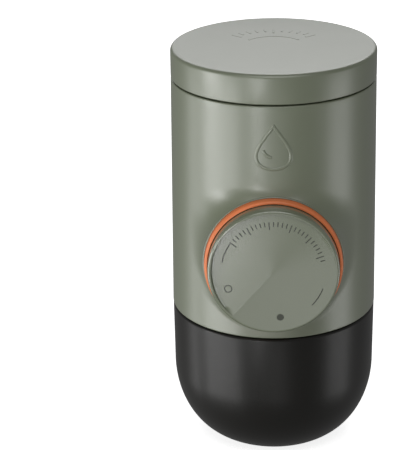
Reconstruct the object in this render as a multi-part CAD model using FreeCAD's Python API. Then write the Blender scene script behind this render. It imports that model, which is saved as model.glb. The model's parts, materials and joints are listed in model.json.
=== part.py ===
import FreeCAD, Part
import math
import os

# Handheld manual espresso maker, in millimetres, +Z up.
# The origin is the centre of the flat foot that it stands on, and the pump's knob faces -Y.
# Stations of the pump are distances in front of the body's centre line, so they grow towards the knob.

# Fits and clearances
running_gap = 0.06  # radial, parts that slide or turn in each other
seated_gap = 0.1  # radial, fixed parts in their seats
loose_gap = 0.3  # radial, parts that are lifted or unscrewed
seal_gap = 0.12  # between a soft seal and the wall that it wipes
face_gap = 0.05  # between flat faces of parts that come apart
inner_gap = 0.5  # between parts inside the casing
draft = 0.5  # degrees, moulding draft of the cup and the casing

# Drinking cup
foot_radius = 14.0
dome_height = 27.2
cup_height = 49.0
cup_wall = 1.9
cup_seam = 0.4
cup_step = 0.1  # the cup's rim is this much smaller than the casing above it

# Casing
body_radius = 34.0  # at the top edge
body_height = 79.9
body_wall = 2.2
edge_round = 0.4
pump_height = 27.2  # pump axis above the casing's lower edge
ledge_width = 2.0
ledge_height = 1.2

# Lid
lid_seam = 0.5
lid_height = 9.9
lid_wall = 2.2
lid_plate = 2.4
lid_round = 1.3
plug_depth = 8.0
plug_wall = 2.0
plug_floor = 2.0
plug_flange = 1.6
gasket_height = 1.4
vent_radius = 2.1
vent_head_radius = 4.2
vent_lip_depth = 3.4
vent_lip_radius = 3.4
vent_tip_radius = 0.8

# Water tank
tank_wall = 1.4
tank_floor = 1.8
filter_radius = 3.4
filter_height = 3.6
filter_wall = 0.5
filter_slot_low = 0.7
filter_slot_height = 1.8
filter_slot_width = 0.8
filter_slot_count = 4

# Knob and front ring
knob_radius = 21.2
knob_proud = 7.9
knob_plate = 5.1
knob_wall = 1.6
knob_round = 0.8
knob_gap = 0.2
crease_angle = 221.0  # clockwise from the top, seen from the front
scoop_sweep = 229.0  # clockwise, from the crease to the end of the scoop
scoop_plane = 90.0  # part of the sweep, next to the crease, that is one tilted plane
scoop_depth = 2.2  # its fall from the knob's centre to the knob's edge, where it is deepest
scoop_steps = 24
scoop_rim = 1.2  # width of the rim that stays round the scoop
spigot_radius = 6.0
ring_width = 1.05
ring_proud = 2.6
ring_seat = 1.6
ring_round = 0.9
boss_proud = 1.2
boss_lip = 0.5
boss_straight = 6.2
boss_fillet = 11.0
boss_flare_angle = 43.0

# Plunger
guide_overlap = 11.0  # length of the sleeve that stays in the barrel when the knob is out
sleeve_wall = 1.6
sleeve_web = 2.4
hub_wall = 1.5
hub_depth = 5.2
washer_radius = 8.5
washer_height = 1.0
rod_radius = 5.0
rod_flange = 2.4
rod_nose_radius = 2.4
piston_length = 7.0
piston_screw_bite = 10.5
seal_groove = 2.2
seal_depth = 1.6
spring_radius = 14.0
spring_wire = 0.8
spring_turns = 8

# Pump barrel and cylinder
barrel_wall = 2.24
barrel_web = 3.0
web_gap = 1.0
cylinder_radius = 8.0
cylinder_wall = 1.8
cylinder_lead = 6.0
bush_length = 5.0
flange_reach = 5.2
flange_height = 2.5
rear_flange_reach = 3.4
rear_flange_height = 3.4
dead_space = 2.0
rear_room = 2.8  # behind the cylinder head's screws
cylinder_gasket_height = 0.8
head_disc = 6.2
valve_column_radius = 4.0
valve_column_reach = 16.0
valve_column_sink = 0.5
valve_seat_radius = 2.8
valve_seat_depth = 3.5
port_radius = 1.4
pipe_wall = 1.1
valve_disc = 0.8
valve_stem = 1.6

# Brew head, basket and outlet head
brew_plate = 4.8
cup_spigot_depth = 8.5
cup_spigot_wall = 3.0
cup_seal_radius = 0.9
basket_wall = 0.5
basket_depth = 13.0
basket_flange_width = 3.4
basket_flange_height = 1.0
basket_hole_radius = 0.7
basket_hole_pitch = 3.6
thread_boss_depth = 10.4
thread_boss_wall = 2.6
brew_gasket_height = 1.4
screen_height = 0.8
screen_recess = 0.6
screen_hole_radius = 0.8
screen_hole_pitch = 4.2
screen_hub_radius = 5.0
outlet_wall = 2.7
outlet_clear = 1.4
outlet_room = 2.6  # between the outlet head and the cup's spigot
outlet_floor_gap = 0.8
funnel_height = 4.5
funnel_wall = 2.6
spout_radius = 6.0
spout_bore = 3.2
spout_length = 7.5
grip_count = 24
grip_radius = 1.6
grip_depth = 0.5

# Fasteners
brew_screw_count = 4
brew_screw_radius = 1.25
brew_screw_head = 2.2
brew_screw_head_height = 1.8
brew_screw_length = 8.0
post_wall = 1.6
post_rib = 2.4
cylinder_screw_count = 3
head_screw_count = 4
small_screw_radius = 1.0
small_screw_head = 1.8
small_screw_head_height = 1.4
centre_screw_radius = 1.5
centre_screw_head = 3.4
centre_screw_head_height = 1.8
socket_share = 0.5  # width and depth of a socket as a share of its screw's head

# Heights that follow from the sizes above
draft_slope = math.tan(math.radians(draft))
body_low = cup_height + cup_seam
body_high = body_low + body_height
lid_low = body_high + lid_seam
lid_high = lid_low + lid_height
pump_z = body_low + pump_height
body_low_radius = body_radius + body_height * draft_slope
cup_rim_radius = body_low_radius - cup_step
dome_radius = cup_rim_radius - (cup_height - dome_height) * draft_slope

# Radii of the pump's front
ring_inner = knob_radius + knob_gap
ring_outer = ring_inner + ring_width
boss_radius = ring_outer + boss_lip
sleeve_radius = knob_radius - knob_wall - 2 * loose_gap
barrel_bore = sleeve_radius + running_gap
barrel_radius = barrel_bore + barrel_wall
cylinder_outer = cylinder_radius + cylinder_wall
cylinder_screw_circle = cylinder_outer + flange_reach / 2
head_screw_circle = cylinder_outer + rear_flange_reach / 2

# Stations of the pump
boss_front = body_radius + boss_proud
knob_front = boss_front + knob_proud
ring_back = boss_front - ring_seat
ring_front = boss_front + ring_proud
knob_back = ring_back + inner_gap
knob_inside = knob_front - knob_plate
sleeve_front = knob_inside - loose_gap
sleeve_web_back = sleeve_front - sleeve_web
washer_front = sleeve_web_back - running_gap
pump_room = sleeve_front + body_radius - body_wall - rear_room
guide_length = guide_overlap + web_gap - cylinder_lead + bush_length + inner_gap
piston_room = piston_length + centre_screw_head_height + dead_space
head_length = cylinder_gasket_height + head_disc + small_screw_head_height
stroke = (pump_room - guide_length - piston_room - head_length) / 2
sleeve_back = sleeve_front - stroke - guide_overlap
hub_radius = washer_radius + inner_gap
hub_back = sleeve_web_back - hub_depth
rod_flange_back = hub_back - rod_flange
web_front = sleeve_back - web_gap
web_back = web_front - barrel_web
cylinder_front = web_front + cylinder_lead
bush_back = cylinder_front - bush_length
piston_front = bush_back - stroke - inner_gap
piston_back = piston_front - piston_length
cylinder_back = piston_back - centre_screw_head_height - dead_space
head_front = cylinder_back - cylinder_gasket_height
head_back = head_front - head_disc
column_y = -head_front + valve_column_radius - valve_column_sink

# Heights of the tank, the brew head and what hangs below it
ledge_low = pump_z + barrel_radius + inner_gap
tank_low = ledge_low + ledge_height
tank_high = body_high + lid_seam - gasket_height - face_gap - inner_gap
tank_radius = body_radius - body_wall - loose_gap
tank_bore = tank_radius - tank_wall
plug_radius = tank_bore - loose_gap
plug_low = tank_high - plug_depth
flange_low = tank_high + gasket_height + face_gap
plug_high = lid_high - lid_plate
brew_high = pump_z - barrel_radius - inner_gap
brew_low = brew_high - brew_plate
spigot_low = brew_low - cup_spigot_depth
spigot_outer = cup_rim_radius - cup_wall - loose_gap - face_gap
spigot_inner = spigot_outer - cup_spigot_wall
thread_boss_low = brew_low - thread_boss_depth
thread_boss_radius = spigot_inner - outlet_room - outlet_wall - loose_gap
thread_boss_bore = thread_boss_radius - thread_boss_wall
basket_radius = thread_boss_radius - basket_flange_width - loose_gap - running_gap
screen_low = thread_boss_low + screen_recess
screen_high = screen_low + screen_height
basket_top = thread_boss_low - brew_gasket_height - face_gap
basket_flange_low = basket_top - basket_flange_height
basket_low = basket_top - basket_depth
outlet_bore = thread_boss_radius + loose_gap
outlet_radius = outlet_bore + outlet_wall
outlet_high = brew_low - outlet_clear
outlet_step = basket_flange_low - face_gap
pocket_radius = basket_radius + loose_gap
pocket_low = basket_low - outlet_floor_gap
funnel_low = pocket_low - funnel_height
spout_low = funnel_low - spout_length
brew_screw_circle = (outlet_radius + spigot_inner) / 2 - seated_gap
post_radius = brew_screw_radius + post_wall
pipe_outer = valve_seat_radius - seated_gap
pipe_bore = pipe_outer - pipe_wall


def at(radius, height):
    """A point of a turned outline, in the plane through the axis."""
    return FreeCAD.Vector(radius, 0, height)


def turned(points):
    """A solid turned about Z from a closed outline of straight lines."""
    outline = Part.makePolygon([at(*point) for point in points + points[:1]])
    return turned_wire(outline)


def turned_wire(outline):
    """A solid turned about Z from a closed wire."""
    return Part.Face(outline).revolve(FreeCAD.Vector(0, 0, 0), FreeCAD.Vector(0, 0, 1), 360)


def line(start, end):
    """A straight edge of a turned outline."""
    return Part.LineSegment(at(*start), at(*end)).toShape()


def bend(start, middle, end):
    """A round edge of a turned outline through three points."""
    return Part.Arc(at(*start), at(*middle), at(*end)).toShape()


def corner(centre, radius, start_angle, end_angle):
    """A round edge about a centre, between two angles counted from the outward direction."""
    angles = (start_angle, (start_angle + end_angle) / 2, end_angle)
    points = []
    for angle in angles:
        turn = math.radians(angle)
        points.append((centre[0] + radius * math.cos(turn), centre[1] + radius * math.sin(turn)))
    return bend(*points)


def disc(radius, low, high, x=0.0, y=0.0):
    """A solid cylinder along Z."""
    return Part.makeCylinder(radius, high - low, FreeCAD.Vector(x, y, low))


def tube(outer, inner, low, high, x=0.0, y=0.0):
    """A hollow cylinder along Z."""
    return disc(outer, low, high, x, y).cut(disc(inner, low, high, x, y))


def along_pump(shape):
    """Turns a shape that was made along Z onto the pump's axis, with its +Z towards the knob."""
    shape = shape.copy()
    shape.rotate(FreeCAD.Vector(0, 0, 0), FreeCAD.Vector(1, 0, 0), 90)
    shape.translate(FreeCAD.Vector(0, 0, pump_z))
    return shape


def turned_copies(shape, count, first_angle=0.0):
    """Evenly spaced copies of a shape round Z."""
    copies = []
    for index in range(count):
        copy = shape.copy()
        turn = first_angle + index * 360.0 / count
        copy.rotate(FreeCAD.Vector(0, 0, 0), FreeCAD.Vector(0, 0, 1), turn)
        copies.append(copy)
    return copies


def screw(head_radius, head_height, shank_radius, length, x=0.0, y=0.0, z=0.0):
    """A socket screw along Z: the head stands on height z and the shank goes up into the work."""
    flat = head_radius * socket_share
    turns = [math.radians(60 * index) for index in range(7)]
    hexagon = [FreeCAD.Vector(flat * math.cos(turn), flat * math.sin(turn), 0) for turn in turns]
    socket = Part.Face(Part.makePolygon(hexagon)).extrude(FreeCAD.Vector(0, 0, head_height * socket_share))
    body = disc(head_radius, 0, head_height).fuse(disc(shank_radius, head_height, head_height + length))
    body = body.cut(socket).removeSplitter()
    body.translate(FreeCAD.Vector(x, y, z))
    return body


def flipped(shape):
    """A shape turned end over end about X, so that its +Z points to -Z."""
    shape = shape.copy()
    shape.rotate(FreeCAD.Vector(0, 0, 0), FreeCAD.Vector(1, 0, 0), 180)
    return shape


def hole_grid(radius, pitch, low, high, reach, clear=0.0):
    """Round holes in a triangular grid, within a reach and outside a clear middle."""
    holes = []
    rows = int(reach / pitch) + 1
    for row in range(-rows, rows + 1):
        for column in range(-rows, rows + 1):
            x = pitch * (column + 0.5 * (row % 2))
            y = pitch * row * math.sqrt(0.75)
            if clear <= math.hypot(x, y) <= reach:
                holes.append(disc(radius, low, high, x, y))
    return Part.makeCompound(holes)


def body_outer(height):
    """Radius of the casing's outside at a height."""
    return body_radius + (body_high - height) * draft_slope


def dome_arc(reach, drop):
    """Quarter ellipse of the cup's dome, from the foot's edge to the wall."""
    centre = at(foot_radius, dome_height)
    lowest = at(foot_radius, dome_height - drop)
    widest = at(foot_radius + reach, dome_height)
    major, minor = (lowest, widest) if drop >= reach else (widest, lowest)
    ellipse = Part.Ellipse(major, minor, centre)
    ends = sorted([ellipse.parameter(lowest), ellipse.parameter(widest)])
    if ends[1] - ends[0] > math.pi:
        ends = [ends[1], ends[0] + 2 * math.pi]
    return Part.ArcOfEllipse(ellipse, *ends).toShape()


def drinking_cup():
    reach = dome_radius - foot_radius
    rim_round = cup_wall / 2
    rim = (cup_rim_radius - rim_round, cup_height - rim_round)
    inner_rim = (cup_rim_radius - cup_wall, cup_height - rim_round)
    outline = [
        line((0, 0), (foot_radius, 0)),
        dome_arc(reach, dome_height),
        line((dome_radius, dome_height), (cup_rim_radius, cup_height - rim_round)),
        corner(rim, rim_round, 0, 180),
        line(inner_rim, (dome_radius - cup_wall, dome_height)),
        dome_arc(reach - cup_wall, dome_height - cup_wall),
        line((foot_radius, cup_wall), (0, cup_wall)),
        line((0, cup_wall), (0, 0)),
    ]
    return turned_wire(Part.Wire(outline))


def boss_block():
    """Raised boss round the pump's knob, with a fillet that flares into the casing at its sides."""
    turn = math.radians(boss_flare_angle)
    arc_top = boss_front - boss_straight
    arc_end = (boss_radius + boss_fillet * (1 - math.cos(turn)), arc_top - boss_fillet * math.sin(turn))
    centre = (boss_radius + boss_fillet, arc_top)
    lip = (boss_radius - edge_round, boss_front - edge_round)
    outline = [
        line((0, 0), (0, boss_front)),
        line((0, boss_front), (boss_radius - edge_round, boss_front)),
        corner(lip, edge_round, 90, 0),
        line((boss_radius, boss_front - edge_round), (boss_radius, arc_top)),
        corner(centre, boss_fillet, 180, 180 + boss_flare_angle),
        line(arc_end, (arc_end[0], 0)),
        line((arc_end[0], 0), (0, 0)),
    ]
    block = along_pump(turned_wire(Part.Wire(outline)))
    return block.common(disc(knob_front, body_low, body_high))


def screw_posts():
    """Posts inside the casing that the brew head is screwed to."""
    high = brew_high + brew_screw_length
    outer = body_outer(brew_high) - body_wall / 2
    rib = Part.makeBox(outer - brew_screw_circle, post_rib, high - brew_high)
    rib.translate(FreeCAD.Vector(brew_screw_circle, -post_rib / 2, brew_high))
    post = disc(post_radius, brew_high, high, brew_screw_circle).fuse(rib)
    post = post.cut(disc(brew_screw_radius, brew_high, high, brew_screw_circle))
    return turned_copies(post, brew_screw_count, 180.0 / brew_screw_count)


def body_shell():
    low_edge = (body_outer(body_low) - edge_round, body_low + edge_round)
    high_edge = (body_radius - edge_round, body_high - edge_round)
    skin = turned_wire(
        Part.Wire(
            [
                line((0, body_low), (low_edge[0], body_low)),
                corner(low_edge, edge_round, -90, 0),
                line((body_outer(body_low), low_edge[1]), (body_radius, high_edge[1])),
                corner(high_edge, edge_round, 0, 90),
                line((high_edge[0], body_high), (0, body_high)),
                line((0, body_high), (0, body_low)),
            ]
        )
    )
    hollow = turned(
        [
            (0, body_low),
            (body_outer(body_low) - body_wall, body_low),
            (body_radius - body_wall, body_high),
            (0, body_high),
        ]
    )
    ledge_outer = body_outer(ledge_low) - body_wall / 2
    ledge = tube(ledge_outer, tank_radius - ledge_width, ledge_low, tank_low)
    shell = skin.fuse(boss_block()).cut(hollow).fuse([ledge] + screw_posts())
    shell = shell.cut(along_pump(disc(barrel_radius + seated_gap, 0, boss_front)))
    shell = shell.cut(along_pump(disc(ring_outer + seated_gap, ring_back, boss_front)))
    return shell.removeSplitter()


def accent_ring():
    """Convex ring that stands in a seat of the boss, round the knob."""
    round_middle = (ring_outer - ring_round, ring_front - ring_round)
    outline = [
        line((ring_inner, ring_back), (ring_outer, ring_back)),
        line((ring_outer, ring_back), (ring_outer, round_middle[1])),
        corner(round_middle, ring_round, 0, 90),
        line((round_middle[0], ring_front), (ring_inner, ring_front)),
        line((ring_inner, ring_front), (ring_inner, ring_back)),
    ]
    return along_pump(turned_wire(Part.Wire(outline)))


def scoop_share(turn):
    """Depth of the scoop at a turn from the crease, as a share of its greatest depth."""
    if turn <= scoop_plane:
        return math.sin(math.radians(90.0 * turn / scoop_plane))
    return math.cos(math.radians(90.0 * (turn - scoop_plane) / (scoop_sweep - scoop_plane))) ** 2


def scoop_points(step):
    """A point level with the face and one on the scoop's floor, over the knob's edge, at a step."""
    turn = scoop_sweep * step / scoop_steps
    clockwise = math.radians(crease_angle + turn)
    depth = scoop_depth * scoop_share(turn) if 0 < step < scoop_steps else 0.0
    top = FreeCAD.Vector(knob_radius * math.sin(clockwise), knob_radius * math.cos(clockwise), knob_front)
    return top, top - FreeCAD.Vector(0, 0, depth)


def knob_scoop():
    """What the knob's face loses: a fan that folds down at the crease and rises again to its end."""
    apex = FreeCAD.Vector(0, 0, knob_front)
    tops, floors = zip(*[scoop_points(step) for step in range(scoop_steps + 1)])
    rings = [[apex] + list(tops)]
    for step in range(scoop_steps):
        wall = [tops[step], floors[step], floors[step + 1], tops[step + 1]]
        rings.append([apex, floors[step + 1], floors[step]])
        rings.append([point for index, point in enumerate(wall) if point != wall[index - 1]])
    faces = [Part.Face(Part.makePolygon(ring + ring[:1])) for ring in rings]
    fan = Part.makeSolid(Part.makeShell(faces))
    return fan.common(disc(knob_radius - scoop_rim, knob_inside, knob_front))


def knob():
    edge = (knob_radius - knob_round, knob_front - knob_round)
    skin = turned_wire(
        Part.Wire(
            [
                line((0, knob_back), (knob_radius, knob_back)),
                line((knob_radius, knob_back), (knob_radius, edge[1])),
                corner(edge, knob_round, 0, 90),
                line((edge[0], knob_front), (0, knob_front)),
                line((0, knob_front), (0, knob_back)),
            ]
        )
    )
    cap = skin.cut(knob_scoop()).cut(disc(knob_radius - knob_wall, knob_back, knob_inside))
    cap = cap.fuse(disc(spigot_radius, washer_front, knob_inside))
    cap = cap.cut(disc(centre_screw_radius, washer_front, knob_inside - running_gap))
    return along_pump(cap.removeSplitter())


def retainer_washer():
    low = washer_front - washer_height
    return along_pump(tube(washer_radius, centre_screw_radius + seated_gap, low, washer_front))


def retainer_screw():
    head_low = washer_front - washer_height - centre_screw_head_height
    reach = washer_height + (knob_inside - washer_front) - loose_gap
    return along_pump(
        screw(centre_screw_head, centre_screw_head_height, centre_screw_radius, reach, z=head_low)
    )


def guide_sleeve():
    hub_outer = hub_radius + hub_wall
    sleeve = tube(sleeve_radius, sleeve_radius - sleeve_wall, sleeve_back, sleeve_front)
    web = tube(sleeve_radius, spigot_radius + running_gap, sleeve_web_back, sleeve_front)
    hub = tube(hub_outer, hub_radius, hub_back, sleeve_web_back)
    return along_pump(sleeve.fuse([web, hub]).removeSplitter())


def plunger_rod():
    outline = [
        (0, hub_back + rod_flange / 2),
        (hub_radius, hub_back + rod_flange / 2),
        (hub_radius, hub_back),
        (hub_radius + hub_wall, hub_back),
        (hub_radius + hub_wall, rod_flange_back),
        (rod_radius, rod_flange_back),
        (rod_radius, piston_front),
        (rod_nose_radius, piston_front),
        (rod_nose_radius, piston_back + centre_screw_radius),
        (0, piston_back + centre_screw_radius),
    ]
    bite = piston_front - piston_back
    return along_pump(turned(outline).cut(disc(small_screw_radius, piston_back, piston_front + bite)))


def piston_head():
    outer = cylinder_radius - seated_gap
    middle = (piston_front + piston_back) / 2
    groove = tube(outer + 1, outer - seal_depth, middle - seal_groove / 2, middle + seal_groove / 2)
    head = disc(outer, piston_back, piston_front).cut(groove)
    return along_pump(
        head.cut(disc(rod_nose_radius, piston_back + centre_screw_radius, piston_front)).cut(
            disc(small_screw_radius, piston_back, piston_front)
        )
    )


def piston_seal():
    outer = cylinder_radius - running_gap
    inner = cylinder_radius - seated_gap - seal_depth + face_gap
    middle = (piston_front + piston_back) / 2
    half = seal_groove / 2 - face_gap
    return along_pump(tube(outer, inner, middle - half, middle + half))


def piston_screw():
    head_low = piston_back - centre_screw_head_height
    base = screw(
        centre_screw_head, centre_screw_head_height, small_screw_radius, piston_screw_bite, z=head_low
    )
    return along_pump(base)


def return_spring():
    """Compression spring between the barrel's web and the sleeve's web, at its locked length."""
    low = web_front + spring_wire + face_gap
    high = sleeve_web_back - spring_wire - face_gap
    helix = Part.makeHelix((high - low) / spring_turns, high - low, spring_radius)
    helix.translate(FreeCAD.Vector(0, 0, low))
    start = FreeCAD.Vector(spring_radius, 0, low)
    section = Part.Wire(Part.Circle(start, FreeCAD.Vector(0, 1, 0), spring_wire).toShape())
    return along_pump(Part.Wire(helix).makePipeShell([section], True, True))


def pump_barrel():
    barrel = tube(barrel_radius, barrel_bore, web_back, ring_back)
    web = tube(barrel_radius, cylinder_outer + seated_gap, web_back, web_front)
    hole = disc(small_screw_radius, web_back, web_front, cylinder_screw_circle)
    holes = turned_copies(hole, cylinder_screw_count, 90)
    return along_pump(barrel.fuse(web).cut(holes).removeSplitter())


def pump_cylinder():
    flange_outer = cylinder_outer + flange_reach
    rear_outer = cylinder_outer + rear_flange_reach
    solid = disc(cylinder_outer, cylinder_back, cylinder_front).fuse(
        [
            disc(flange_outer, web_back - flange_height, web_back),
            disc(rear_outer, cylinder_back, cylinder_back + rear_flange_height),
        ]
    )
    front_hole = disc(small_screw_radius, web_back - flange_height, web_back, cylinder_screw_circle)
    rear_high = cylinder_back + rear_flange_height
    rear_hole = disc(small_screw_radius, cylinder_back, rear_high, head_screw_circle)
    holes = turned_copies(front_hole, cylinder_screw_count, 90)
    holes += turned_copies(rear_hole, head_screw_count, 45)
    return along_pump(solid.cut([disc(cylinder_radius, cylinder_back, cylinder_front)] + holes))


def rod_bush():
    return along_pump(tube(cylinder_radius, rod_radius + running_gap, bush_back, cylinder_front))


def cylinder_screws():
    length = flange_height + barrel_web
    base = screw(
        small_screw_head,
        small_screw_head_height,
        small_screw_radius,
        length,
        cylinder_screw_circle,
        0,
        web_back - flange_height - small_screw_head_height,
    )
    return along_pump(Part.makeCompound(turned_copies(base, cylinder_screw_count, 90)))


def cylinder_gasket():
    return along_pump(tube(cylinder_outer, cylinder_radius, head_front, cylinder_back))


def cylinder_head():
    """Cap of the cylinder, with an upright column that holds the two valves."""
    column_low = FreeCAD.Vector(0, -valve_column_reach, -column_y)
    upward = FreeCAD.Vector(0, 1, 0)
    column = Part.makeCylinder(valve_column_radius, 2 * valve_column_reach, column_low, upward)
    cap = disc(cylinder_outer + rear_flange_reach, head_back, head_front).fuse(column)
    cap = cap.cut(disc(cylinder_outer + rear_flange_reach + 1, head_front, cylinder_front))
    duct = Part.makeCylinder(port_radius, 2 * valve_column_reach, column_low, upward)
    seats = []
    for side in (-1, 1):
        start = FreeCAD.Vector(0, side * (valve_column_reach - valve_seat_depth), -column_y)
        outward = FreeCAD.Vector(0, side, 0)
        seats.append(Part.makeCylinder(valve_seat_radius, valve_seat_depth, start, outward))
    chamber = disc(port_radius * 2, -column_y, head_front)
    hole = disc(small_screw_radius, head_back, head_front, head_screw_circle)
    holes = turned_copies(hole, head_screw_count, 45)
    return along_pump(cap.cut([duct, chamber] + seats + holes).removeSplitter())


def head_screws():
    length = head_disc + cylinder_gasket_height + rear_flange_height
    base = screw(
        small_screw_head,
        small_screw_head_height,
        small_screw_radius,
        length - face_gap,
        head_screw_circle,
        0,
        head_back - small_screw_head_height,
    )
    return along_pump(Part.makeCompound(turned_copies(base, head_screw_count, 45)))


def soft_valve():
    """Mushroom of soft rubber: a disc that covers the port and a stem that holds it there."""
    stem = disc(port_radius - 2 * seated_gap, -valve_stem, 0)
    return disc(valve_seat_radius - seated_gap, 0, valve_disc).fuse(stem).removeSplitter()


def inlet_valve():
    valve = soft_valve()
    valve.translate(FreeCAD.Vector(0, column_y, pump_z + valve_column_reach - valve_seat_depth))
    return valve


def outlet_valve():
    valve = flipped(soft_valve())
    valve.translate(FreeCAD.Vector(0, column_y, pump_z - valve_column_reach + valve_seat_depth))
    return valve


def suction_tube():
    low = pump_z + valve_column_reach - valve_seat_depth + valve_disc + face_gap
    return tube(pipe_outer, pipe_bore, low, tank_low + tank_floor, 0, column_y)


def delivery_tube():
    high = pump_z - valve_column_reach + valve_seat_depth - valve_disc - face_gap
    return tube(pipe_outer, pipe_bore, brew_high - brew_plate / 2, high, 0, column_y)


def water_tank():
    wall = disc(tank_radius, tank_low, tank_high).cut(disc(tank_bore, tank_low + tank_floor, tank_high))
    return wall.cut(disc(valve_seat_radius, tank_low, tank_low + tank_floor, 0, column_y))


def inlet_filter():
    """Strainer thimble over the tank's outlet."""
    low = tank_low + tank_floor
    thimble = disc(filter_radius, low, low + filter_height, 0, column_y)
    hollow = disc(filter_radius - filter_wall, low, low + filter_height - filter_wall, 0, column_y)
    slot = Part.makeBox(2 * filter_radius, filter_slot_width, filter_slot_height)
    slot.translate(FreeCAD.Vector(-filter_radius, -filter_slot_width / 2, low + filter_slot_low))
    slots = turned_copies(slot, filter_slot_count)
    for cut in slots:
        cut.translate(FreeCAD.Vector(0, column_y, 0))
    return thimble.cut([hollow] + slots)


def lid():
    edge = (body_radius - lid_round, lid_high - lid_round)
    low_edge = (body_radius - edge_round, lid_low + edge_round)
    inner = body_radius - lid_wall
    outline = [
        line((0, lid_high), (edge[0], lid_high)),
        corner(edge, lid_round, 90, 0),
        line((body_radius, edge[1]), (body_radius, low_edge[1])),
        corner(low_edge, edge_round, 0, -90),
        line((low_edge[0], lid_low), (inner, lid_low)),
        line((inner, lid_low), (inner, plug_high)),
        line((inner, plug_high), (0, plug_high)),
        line((0, plug_high), (0, lid_high)),
    ]
    return turned_wire(Part.Wire(outline))


def lid_plug():
    flange = body_radius - lid_wall - seated_gap
    outline = [
        (0, plug_low),
        (plug_radius, plug_low),
        (plug_radius, flange_low),
        (flange, flange_low),
        (flange, flange_low + plug_flange),
        (plug_radius, flange_low + plug_flange),
        (plug_radius, plug_high),
        (plug_radius - plug_wall, plug_high),
        (plug_radius - plug_wall, plug_low + plug_floor),
        (0, plug_low + plug_floor),
    ]
    return turned(outline).cut(disc(vent_radius, plug_low, plug_low + plug_floor))


def lid_gasket():
    return tube(tank_radius, plug_radius, tank_high + face_gap, flange_low)


def vent_valve():
    """Soft plug in the lid's floor that opens inwards to let air follow the water."""
    outline = [
        (0, plug_low - vent_lip_depth),
        (vent_tip_radius, plug_low - vent_lip_depth),
        (vent_lip_radius, plug_low),
        (vent_radius, plug_low),
        (vent_radius, plug_low + plug_floor),
        (vent_head_radius, plug_low + plug_floor),
        (vent_head_radius, plug_low + plug_floor + valve_disc),
        (0, plug_low + plug_floor + valve_disc),
    ]
    return turned(outline)


def brew_head():
    flange = body_outer(brew_high) - body_wall - seated_gap
    seal_height = (spigot_low + body_low) / 2
    groove_half = cup_seal_radius + running_gap
    outline = [
        (0, brew_high),
        (flange, brew_high),
        (flange, body_low),
        (spigot_outer, body_low),
        (spigot_outer, seal_height + groove_half),
        (cup_seal_floor(), seal_height + groove_half),
        (cup_seal_floor(), seal_height - groove_half),
        (spigot_outer, seal_height - groove_half),
        (spigot_outer, spigot_low),
        (spigot_inner, spigot_low),
        (spigot_inner, brew_low),
        (thread_boss_radius, brew_low),
        (thread_boss_radius, thread_boss_low),
        (thread_boss_bore, thread_boss_low),
        (thread_boss_bore, brew_low),
        (screen_hub_radius, brew_low),
        (screen_hub_radius, screen_high),
        (0, screen_high),
    ]
    head = turned(outline)
    middle = brew_high - brew_plate / 2
    feed_y = screen_hub_radius + 2 * port_radius
    channel_start = FreeCAD.Vector(0, feed_y, middle)
    channel = Part.makeCylinder(port_radius, column_y - feed_y, channel_start, FreeCAD.Vector(0, 1, 0))
    feed = disc(port_radius, brew_low, middle, 0, feed_y)
    port = disc(valve_seat_radius, middle, brew_high, 0, column_y)
    pilot = disc(centre_screw_radius, screen_high, middle)
    head_top = brew_low + brew_screw_head_height
    shank_bore = disc(brew_screw_radius + seated_gap, brew_low, brew_high, brew_screw_circle)
    head_bore = disc(brew_screw_head + seated_gap, brew_low, head_top, brew_screw_circle)
    screw_holes = turned_copies(shank_bore.fuse(head_bore), brew_screw_count, 180.0 / brew_screw_count)
    return head.cut([channel, feed, port, pilot] + screw_holes)


def cup_seal_floor():
    """Radius of the floor of the cup seal's groove."""
    return spigot_outer + loose_gap - seal_gap - 2 * cup_seal_radius - face_gap


def cup_seal():
    seal_height = (spigot_low + body_low) / 2
    middle = cup_seal_floor() + face_gap + cup_seal_radius
    return Part.makeTorus(middle, cup_seal_radius, FreeCAD.Vector(0, 0, seal_height))


def brew_screws():
    length = brew_plate - brew_screw_head_height + brew_screw_length - loose_gap
    base = screw(brew_screw_head, brew_screw_head_height, brew_screw_radius, length)
    base.translate(FreeCAD.Vector(brew_screw_circle, 0, brew_low))
    return Part.makeCompound(turned_copies(base, brew_screw_count, 180.0 / brew_screw_count))


def shower_screen():
    outer = thread_boss_bore - seated_gap
    plate = tube(outer, centre_screw_radius + seated_gap, screen_low, screen_high)
    return plate.cut(
        hole_grid(
            screen_hole_radius,
            screen_hole_pitch,
            screen_low,
            screen_high,
            outer - 2 * screen_hole_radius,
            screen_hub_radius + screen_hole_radius,
        )
    )


def shower_screw():
    low = screen_low - centre_screw_head_height
    length = screen_height + brew_high - brew_plate / 2 - screen_high - loose_gap
    return screw(centre_screw_head, centre_screw_head_height, centre_screw_radius, length, z=low)


def brew_gasket():
    low = thread_boss_low - brew_gasket_height
    return tube(thread_boss_radius, thread_boss_bore, low, thread_boss_low)


def filter_basket():
    outer = basket_radius + basket_flange_width
    outline = [
        (0, basket_low),
        (basket_radius, basket_low),
        (basket_radius, basket_flange_low),
        (outer, basket_flange_low),
        (outer, basket_top),
        (basket_radius - basket_wall, basket_top),
        (basket_radius - basket_wall, basket_low + basket_wall),
        (0, basket_low + basket_wall),
    ]
    reach = basket_radius - basket_wall - 2 * basket_hole_radius
    holes = hole_grid(basket_hole_radius, basket_hole_pitch, basket_low, basket_low + basket_wall, reach)
    return turned(outline).cut(holes)


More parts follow.
